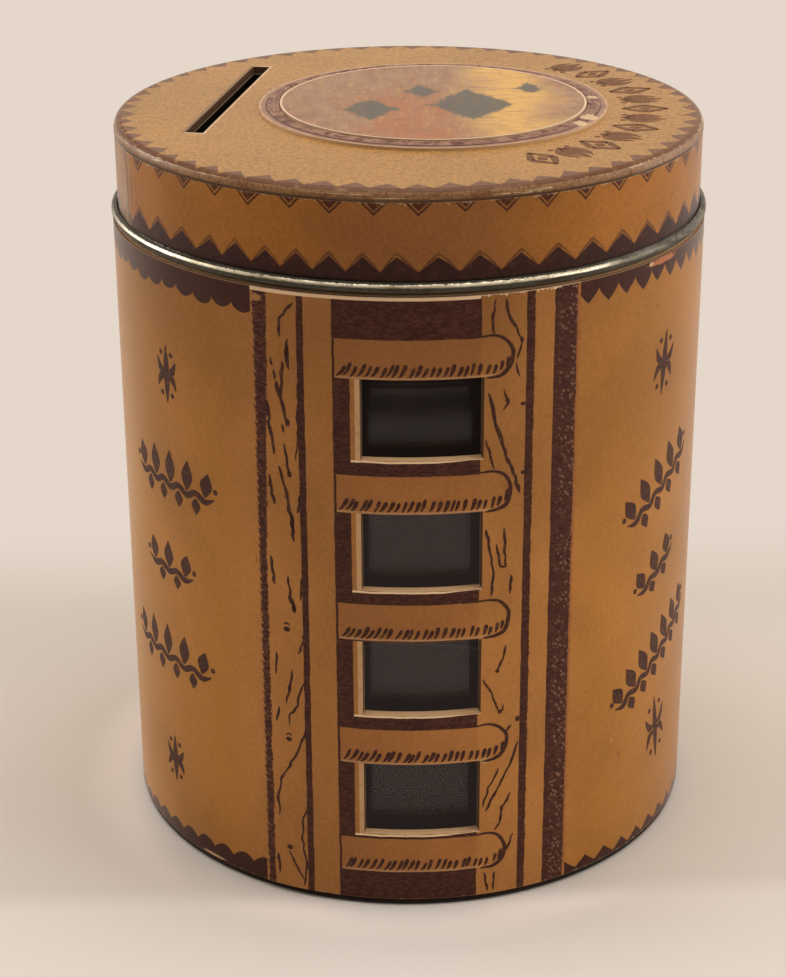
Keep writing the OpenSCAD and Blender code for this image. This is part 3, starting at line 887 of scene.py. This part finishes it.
# Grain of the two wooden rails: each stroke's width, then arc length and height of point after point
grainStrokes = (
    # left rail
    (0.35, -17.8, 94.5, -19.9, 92.1, -19.9, 89.4), (0.4, -18.7, 89.2, -18.9, 87.2, -18.6, 84.8),
    (0.3, -21.4, 86.2, -21.1, 85), (0.35, -21, 84.5, -20.8, 83),
    (0.38, -19.6, 85.9, -19.9, 81, -19.5, 78.3, -19, 76.8), (0.45, -20.5, 82.9, -20.2, 80.6),
    (0.3, -17.2, 83.3, -17.5, 77.9, -17.4, 74.9, -17.9, 71.4),
    (0.5, -22.1, 79.8, -21.8, 76.4, -21.2, 71.8), (0.3, -19.9, 76.6, -19.7, 75.3),
    (0.38, -19.6, 73.7, -19.2, 71, -18.9, 69),
    (0.42, -20.5, 70.2, -19.6, 67.1, -19.1, 64.4, -18.7, 61.6, -18.4, 58.9),
    (0.3, -19.2, 65.4, -19.9, 65.7), (0.35, -16.8, 67.9, -17.4, 65.5, -17.8, 63.4),
    (0.4, -22.1, 68.7, -21.7, 65.9, -21.3, 64.2), (0.4, -22.2, 56.1, -21.9, 53.7, -21.6, 51.7),
    (0.3, -19.5, 53.3, -19.1, 49.7), (0.3, -17.5, 53.3, -17.7, 49.7), (0.4, -18.9, 49.9, -18.6, 47.6),
    (0.35, -19.5, 50.2, -18.8, 48.7), (0.25, -20.4, 45.5, -19.9, 45.8, -19.4, 45.5),
    (0.3, -17, 44.9, -17.4, 43.2, -18.2, 41.1), (0.3, -21.7, 40.8, -21.8, 37.1),
    (0.35, -19.3, 38.2, -19.4, 36.3, -19.9, 34.4, -20.3, 32.6),
    (0.28, -17.2, 36.7, -18.3, 34.3, -18.5, 32.6, -19.7, 30.8, -19.9, 28.9),
    (0.35, -21.5, 31.8, -22, 29.3), (0.25, -20.5, 27.4, -20, 27.6, -19.5, 27.3),
    (0.32, -17, 29.3, -18.2, 26, -20, 22.2, -21.4, 19.7, -22, 16.3, -21.9, 13.4),
    (0.3, -17, 16.3, -18, 13.4, -18.2, 10, -17.6, 5.7, -18.1, 1.8),
    (0.3, -20.5, 7.4, -19.2, 4.9, -18.1, 2.8), (0.4, -22.2, 6.5, -22.1, 3.2),
    # right rail
    (0.3, 10.1, 95.3, 9.6, 92.4, 9.95, 90.3), (0.3, 11.5, 95.3, 12.2, 92.4, 13.5, 90, 14, 89),
    (0.28, 14, 89, 13.2, 86.4), (0.3, 13.1, 86, 13.7, 83.8),
    (0.28, 11.4, 82.2, 11.7, 81.2, 12.2, 80.4, 11.3, 79.2),
    (0.42, 9.2, 81.9, 10.5, 76.5, 11.9, 72.3, 13, 69.6, 13.9, 66.5), (0.3, 8.9, 75, 9.8, 71.6, 10.1, 70.5),
    (0.35, 9.1, 61.4, 9.9, 56.2, 10.3, 54.3, 9.9, 51), (0.3, 10.6, 59, 11.2, 55.5, 12, 55.4, 11.7, 61.4),
    (0.35, 12.9, 53.9, 12.7, 51), (0.3, 12.3, 42.8, 11.8, 40.7, 10.9, 38.7),
    (0.3, 8.9, 37.7, 10.2, 35.2, 10.9, 33.2, 11.3, 32.1), (0.3, 11.3, 32.1, 12, 32.3, 12, 33.2),
    (0.3, 13.3, 29.6, 12.6, 28.6), (0.32, 14.4, 26.6, 13.2, 22.8, 11.1, 19, 9.5, 15.6),
    (0.3, 11.4, 22.6, 9.9, 19.5, 9.1, 16.4), (0.3, 13.3, 18.2, 12, 15.6, 11.7, 13.3, 10.9, 12.1),
    (0.35, 13.9, 11, 12.9, 8.2), (0.3, 9.4, 4.9, 9.9, 1.6), (0.3, 11, 4.9, 10.9, 1.6),
)
grainKnots = (  # arc length, height, half width, half height
    (-18.9, 87.2, 0.38, 0.8), (-19, 76.9, 0.36, 0.6), (-18.9, 69.2, 0.38, 0.5), (-18.6, 61.8, 0.3, 1.3),
    (-18.7, 48.3, 0.35, 0.6), (-19.9, 44.8, 0.55, 0.42), (-19.7, 35.2, 0.3, 0.6), (-20, 26.7, 0.5, 0.38),
    (-20.3, 8.1, 0.5, 0.45), (13.9, 89.2, 0.3, 0.4), (11.9, 80.6, 0.3, 0.4), (14.3, 79.8, 0.45, 0.3),
    (14.4, 69.5, 0.35, 0.3), (11, 38.8, 0.35, 0.3), (11.5, 32.1, 0.35, 0.35), (14.3, 30.4, 0.4, 0.45),
    (12, 15.8, 0.3, 0.4),
)


def shaky(points, width, draw):  # the same stroke by an unsteady hand
    made = []
    for a, b in zip(points, points[1:]):
        steps = max(1, round(hypot(b[0] - a[0], b[1] - a[1]) / stroke["step"]))
        for k in range(steps):
            share = k / steps
            made.append((part(share, (a[0], b[0])) + draw.uniform(-1, 1) * stroke["wiggle"],
                         part(share, (a[1], b[1])), width * draw.uniform(0.8, 1.5)))
    made.append((*points[-1], width * 0.4))
    made[0] = (*points[0], width * 0.5)
    return made


def drawGrain(seed):
    draw = random.Random(seed)
    bm = bmesh.new()
    for width, *path in grainStrokes:
        addRibbon(bm, shaky(list(zip(path[::2], path[1::2])), width, draw), onWrap, 3)
    for arc, high, wide, tall in grainKnots:
        addBlob(bm, (arc, high), (wide, tall), onWrap, 9)
    finishInk("railGrain", bm, fromAxis, "canister", strokeInk)


drawGrain(stroke["seed"] + 1)

# Ornaments, each drawn between -1 and 1 with widths in mm. The strokes given for one side are mirrored
ornaments = dict(
    spindle=dict(
        middle=((0, -1, 0.15), (0, -0.35, 1.25), (0, 0.35, 1.25), (0, 1, 0.15)),
        side=(((0.2, 0.1, 0.5), (0.62, 0.14, 1.15), (0.98, 0.5, 0.15)),
              ((0.2, -0.1, 0.5), (0.62, -0.14, 1.15), (0.98, -0.5, 0.15))),
        dots=((0.55, 0.7, 0.42), (0.55, -0.7, 0.42)),
    ),
    lozenge=dict(
        middle=((0, -0.3, 0.1), (0, 0, 1.2), (0, 0.3, 0.1)),
        side=(((0, 0.98, 0.5), (0.45, 0.5, 0.8), (0.95, 0, 0.9)),
              ((0, -0.98, 0.5), (0.45, -0.5, 0.8), (0.95, 0, 0.9))),
        dots=(),
    ),
    fleur=dict(
        middle=((0, -0.95, 0.5), (0, 0.1, 1.5), (0, 1, 0.15)),
        side=(((0.2, -0.75, 0.5), (0.75, -0.35, 1.1), (0.85, 0.2, 0.95), (0.6, 0.75, 0.15)),),
        dots=((0.8, -0.85, 0.36),),
    ),
)
garland = dict(
    stem=1,  # widths of the stem, the leaves on it and those under it
    leaf=2.5,
    under=1.9,
    tip=0.1,
    wave=0.1,
    berry=0.45,
)
wrapOrnaments = (  # kind or number of leaves, arc length, height, half width and height, degrees
    ("spindle", -41.7, 79.1, 2.3, 4.4, 0),
    (5, -42, 63, 10, 4.2, 0),
    (3, -43.5, 48.5, 6.3, 3.6, 0),
    (5, -45, 33.5, 11, 4.2, 0),
    ("spindle", -44.3, 14.7, 2.4, 4, 0),
    ("spindle", 41.5, 79.7, 2.6, 4.9, -6),
    (5, 42, 61, 9.6, 4.4, 24),
    (3, 41.7, 47, 5.8, 3.5, 24),
    (7, 43, 32.5, 12.2, 4.2, 26),
    ("spindle", 44, 18.6, 3, 5.6, 8),
)


def addGarland(bm, g, leaves, seat, lay):  # upright leaves on a waving stem, smaller ones under it
    stem = []
    for k in range(2 * leaves + 1):
        wide = g["stem"] if 0 < k < 2 * leaves else g["tip"]
        stem.append((*seat(-1 + k / leaves, -0.28 + g["wave"] * (-1) ** k), wide))
    addRibbon(bm, stem, lay)
    for k in range(leaves):
        x = -1 + (2 * k + 1) / leaves
        lean = 0.5 * x / leaves
        tall = 1 - 0.45 * x * x
        addRibbon(bm, ((*seat(x, -0.2), 0.4), (*seat(x + lean * 0.4, tall * 0.35), g["leaf"]),
                       (*seat(x + lean, tall), g["tip"])), lay)
        if k:
            x -= 1 / leaves
            addRibbon(bm, ((*seat(x, -0.38), 0.3), (*seat(x, -0.66), g["under"]),
                           (*seat(x, -1), g["tip"])), lay)
    for x in (-1, 1):
        addBlob(bm, seat(x * 1.02, 0.12), (g["berry"], g["berry"]), lay)


def addOrnament(bm, kind, centre, halves, lean, lay, weight=1):
    turn = radians(lean)

    def seat(x, y):
        x, y = x * halves[0], y * halves[1]
        return (centre[0] + x * cos(turn) - y * sin(turn),
                centre[1] + x * sin(turn) + y * cos(turn))

    def draw(points, side):
        addRibbon(bm, [(*seat(side * x, y), wide * weight) for x, y, wide in points], lay)

    if kind not in ornaments:
        addGarland(bm, garland, kind, seat, lay)
        return
    draw(ornaments[kind]["middle"], 1)
    for side in (-1, 1):
        for points in ornaments[kind]["side"]:
            draw(points, side)
        for x, y, radius in ornaments[kind]["dots"]:
            addBlob(bm, seat(side * x, y), (radius * weight, radius * weight), lay)


def drawWrapOrnaments():
    bm = bmesh.new()
    for kind, arc, high, wide, tall, lean in wrapOrnaments:
        addOrnament(bm, kind, (arc, high), (wide, tall), lean, onWrap)
    finishInk("sideOrnaments", bm, fromAxis, "canister", strokeInk)


drawWrapOrnaments()

lidOrnaments = dict(
    radius=(33.6, 36.6),  # of their middle, at the first and the last one
    turn=(31, 134),  # degrees from the windows towards +X
    count=12,
    halves=(2, 3.4),
    kinds=("lozenge", "fleur"),
    weight=1.3,
    wornShare=0.55,
)


def drawLidOrnaments(o):
    bm = bmesh.new()
    for k in range(o["count"]):
        share = k / (o["count"] - 1)
        angle = radians(part(share, o["turn"]))
        radius = part(share, o["radius"])
        outward = Vector((sin(angle), -cos(angle), 0))
        across = Vector((cos(angle), sin(angle), 0))

        def onLid(x, y):
            flat = (outward * (radius + y) + across * x) * mm
            return flat + Vector((0, 0, (lidTop + stroke["lift"]) * mm))

        addOrnament(bm, o["kinds"][k % 2], (0, 0), o["halves"], 0, onLid, o["weight"])
    ink = makeInk("lidStrokeInk", lidPaper, o["wornShare"])
    finishInk("lidOrnaments", bm, lambda point: Vector((0, 0, 1)), "lid", ink)


drawLidOrnaments(lidOrnaments)

# Wrinkled border in relief on the label, round the picture, darker in its hollows as painted shade
wrinkle = dict(
    # from the picture outwards: radius, height above the label
    profile=((22.98, 0.02), (23.3, 0.24), (23.62, 0.06), (23.98, 0.27), (24.3, 0.1), (24.62, 0.2),
             (25.1, 0.02)),
    sink=-0.05,
    steps=240,
    waves=((9, 0.09), (23, 0.08), (41, 0.05)),  # how many round it, how far they wander
    swell=0.55,
    least=0.1,  # share of its height that a crest keeps
    highest=0.38,
    crest=(152, 112, 88),
    hollow=(88, 46, 36),
    seed=3,
)


def makeWrinklePaper(w):
    spot = startMaterial("labelWrinkles", centre=labelCentre)
    level = ramp(sub(spot.z, labelHigh.z / mm - labelCentre.z), 0.04, 0.17)
    wear = grain(spot, 0.8, 3, 0.7)
    # painted shade: darker in the hollows, lighter on the crests
    colour = mix(mul(level, ramp(wear, 0.35, 0.6)), w["hollow"], w["crest"])
    colour = coats(colour, label, (chipsOf(spot, wear), 0.9, "card"))
    return finishSurface(colour, 0.45, grain(spot, 2, 2), 0.03, specular=0.3)


def makeWrinkles(w):
    draw = random.Random(w["seed"])
    waves = [(count, reach, draw.uniform(0, 6.3), draw.uniform(0, 6.3)) for count, reach in w["waves"]]
    bm = bmesh.new()
    top = labelHigh.z
    inner, outer = w["profile"][0][0], w["profile"][-1][0]
    ring = [*w["profile"], (outer, w["sink"]), (inner, w["sink"])]
    verts = [bm.verts.new((radius * mm, 0, top + high * mm)) for radius, high in ring]
    edges = [bm.edges.new((verts[k], verts[(k + 1) % len(verts)])) for k in range(len(verts))]
    bmesh.ops.spin(bm, geom=verts + edges, cent=(0, 0, 0), axis=(0, 0, 1), angle=2 * pi,
                   steps=w["steps"], use_merge=True)
    for vert in bm.verts:
        angle = atan2(vert.co.y, vert.co.x)
        radius = Vector((vert.co.x, vert.co.y)).length / mm
        if min(radius - inner, outer - radius) > 0.1:
            radius += sum(reach * sin(count * angle + phase) for count, reach, phase, _ in waves)
        swell = 1 + w["swell"] * sum(sin(count * angle + phase) for count, _, _, phase in waves) / 3
        high = vert.co.z - top
        if high >= 0:
            high *= max(w["least"], swell)
        vert.co = (labelCentre.x * mm + radius * cos(angle) * mm,
                   labelCentre.y * mm + radius * sin(angle) * mm, top + min(high, w["highest"] * mm))
    bmesh.ops.recalc_face_normals(bm, faces=bm.faces[:])
    for face in bm.faces:
        face.smooth = True
    piece = makePiece("labelWrinkles", bm, makeWrinklePaper(w))
    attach(piece, "lid")


makeWrinkles(wrinkle)


# Paper and tin turned down into the coin slot, painted dark below the tin's edge as painted shade
def makeLipPaper(s):
    spot = startMaterial("slotLipPaper")
    rough = swing(grain(spot, 1.3, 3, 0.7), 0.5)
    high = add(spot.z, mul(rough, 0.5))
    foot = lidTop - s["paperDepth"]
    colour = coats(s["dark"], s, (above(high, foot - s["tinEdge"], 0.06), 1, "tin"),
                   (above(high, foot, 0.08), 1, "lining"))
    return finishSurface(colour, 0.45, rough, 0.05)


def makeSlotLip(s):
    bm = bmesh.new()
    made = bmesh.ops.create_cube(bm, size=1)
    ends = [face for face in bm.faces if abs(face.normal.z) > 0.5]
    bmesh.ops.delete(bm, geom=ends, context="FACES_ONLY")
    bmesh.ops.reverse_faces(bm, faces=bm.faces[:])
    place = Matrix.Translation((s["centre"][0] * mm, s["centre"][1] * mm,
                                (lidTop - s["lipDepth"] / 2 - s["sink"]) * mm))
    place = place @ Matrix.Rotation(-radians(s["turn"]), 4, "Z")
    place = place @ Matrix.Diagonal((2 * s["reach"] * mm, 2 * s["half"] * mm, s["lipDepth"] * mm, 1))
    bmesh.ops.transform(bm, matrix=place, verts=made["verts"])
    piece = makePiece("slotLip", bm, makeLipPaper(s), s["lipWall"], 1)
    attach(piece, "lid")


makeSlotLip(lidSlot)

# Floor and light: the bank's shadow, and light near its foot, are painted on the floor. Places on the floor
# are in mm from the bank's axis
print("floor and light")
stage = dict(
    front=(227, 216, 205),  # the table before the bank; beside and behind it, painted shadow of the bank
    shadowBeside=(214, 202, 189),
    shadowBehind=(199, 188, 176),
    paintedLightNear=(250, 237, 225),  # painted light close to the bank's foot, before it and on its left
    backdrop=(229, 215, 202),
    frontLine=(-44.5, -37.5),
    besideTo=(0, 60),
    nearTo=(56, 47),  # radius
    nearFront=(-40, -46),
    nearLeft=(-34, -46),
    wallLine=(55, 98),  # where the table fades into the backdrop behind the bank
    farLine=(200, 450),  # and all round it
    size=3000,
    sky=(0.94, 0.92, 0.895, 1),
    skyStrength=0.25,
    roomGlow=0.25,  # of the dim room before the bank, as gloss shows it
    roomFront=(-0.2, -0.7),
    roomTop=(0.6, 0.35),  # how steeply up it is bright again
)


def seenRays():  # camera, glossy and transmission rays, 1 for each kind
    rays = addNode("LightPath")
    return [rays["Is %s Ray" % kind] for kind in ("Camera", "Glossy", "Transmission")]


def makeTablePaint(s):
    spot = startMaterial("paleTable")
    # painted light near the bank's foot; painted shadow beside and behind it
    paintedLightNear = larger(ramp(spot.y, *s["nearFront"]), mul(ramp(spot.x, *s["nearLeft"]), 0.5))
    colour = coats(s["front"], s, (ramp(spot.y, *s["frontLine"]), 1, "shadowBeside"),
                   (ramp(spot.y, *s["besideTo"]), 1, "shadowBehind"),
                   (paintedLightNear, ramp(spot.radius, *s["nearTo"]), "paintedLightNear"))
    finishSurface(colour, 0.7, specular=0.15)
    camera, glossy, through = seenRays()
    wall = mul(ramp(spot.y, *s["wallLine"]), larger(camera, larger(glossy, through)))
    far = mul(ramp(spot.radius, *s["farLine"]), larger(larger(camera, through), mul(glossy, s["roomGlow"])))
    shaders = (wiring["surface"].outputs[0], addNode("Emission", {"Color": s["backdrop"]})[0])
    faded = addNode("MixShader", (larger(wall, far), *shaders))[0]
    plug(faded, wiring["tree"].nodes["Material Output"].inputs["Surface"])
    return wiring["material"]


def makeFloor(s):
    bm = bmesh.new()
    bmesh.ops.create_grid(bm, x_segments=8, y_segments=8, size=s["size"] * mm)
    floor = makePiece("tableTop", bm, makeTablePaint(s))


def makeWorld(s):
    world = bpy.data.worlds.new("studio")
    scene.world = world
    world.use_nodes = True
    wiring["tree"] = world.node_tree
    sky = world.node_tree.nodes["Background"]
    _, away, up = split3(addNode("TexCoord")["Generated"])
    camera, glossy, through = seenRays()
    seen = larger(camera, larger(glossy, through))
    dim = mul(glossy, mul(ramp(away, *s["roomFront"]), 1 - s["roomGlow"]))
    dim = mul(dim, ramp(up, *s["roomTop"]))
    plug(mix(seen, s["sky"], s["backdrop"]), sky.inputs["Color"])
    plug(mul(blend(seen, s["skyStrength"], 1), inverse(dim)), sky.inputs["Strength"])


lamps = dict(
    # place and size in metres, power in watts, colour
    overhead=((0, 0.06, 0.75), (0.7, 0.6), 4.2, (1, 0.985, 0.965)),
    leftSide=((-0.7, 0.3, 0.35), (0.5, 0.5), 2.75, (1, 0.985, 0.96)),
    rightSide=((0.7, 0.03, 0.35), (1, 0.6), 4.3, (1, 0.97, 0.94)),
)
lampTarget = Vector((0, 0, 0.05))


def makeLamp(name, place, extent, power, colour):
    data = bpy.data.lights.new(name, "AREA")
    data.shape = "RECTANGLE"
    data.size, data.size_y = extent
    data.energy = power
    data.color = colour
    lamp = bpy.data.objects.new(name, data)
    scene.collection.objects.link(lamp)
    lamp.location = place
    lamp.rotation_mode = "QUATERNION"
    lamp.rotation_quaternion = (lampTarget - Vector(place)).to_track_quat("-Z", "Y")


makeFloor(stage)
makeWorld(stage)
for name, settings in lamps.items():
    makeLamp(name, *settings)
scene.view_settings.view_transform = "Standard"
